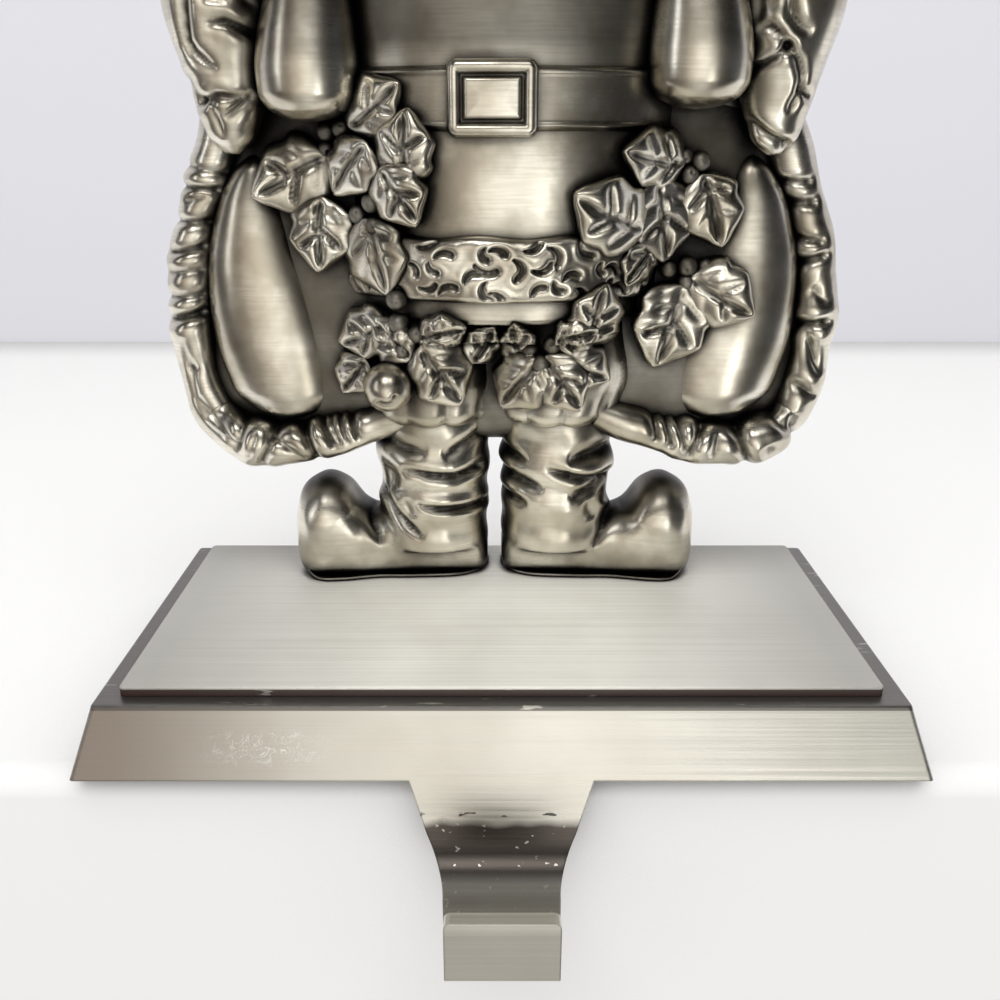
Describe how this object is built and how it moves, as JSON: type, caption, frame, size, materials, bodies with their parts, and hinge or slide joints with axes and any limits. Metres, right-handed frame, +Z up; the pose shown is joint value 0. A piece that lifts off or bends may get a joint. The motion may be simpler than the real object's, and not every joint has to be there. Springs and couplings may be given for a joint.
{
  "type": "mantel stocking holder",
  "caption": "Weighted bevelled base with a J hook at its front edge and a cast bearded winter figure in a fur-trimmed coat, for hanging a stocking from a mantel.",
  "frame": {"origin": "centre of the felt pad's underside, which rests on the mantel", "axes": "+Z up, -Y towards the room with the hook hanging in front of the mantel's edge, +X along the mantel to the right as seen from the room"},
  "size_m": [0.14, 0.0956, 0.2171],
  "materials": {
    "brushed_pewter": "brushed along the mantel, darker in the ledge",
    "antique_pewter": "antique pewter plating, rubbed bright on the high places and dark in the hollows",
    "ballast_iron": "rough cast",
    "felt": "black felt",
    "screw_steel": "zinc plated"
  },
  "bodies": {
    "root": {"base_and_hook": "brushed_pewter", "top_plate": "brushed_pewter", "figure": "antique_pewter", "ballast_block": "ballast_iron", "mantel_pad": "felt", "figure_screws": "screw_steel"}
  },
  "joints": []
}
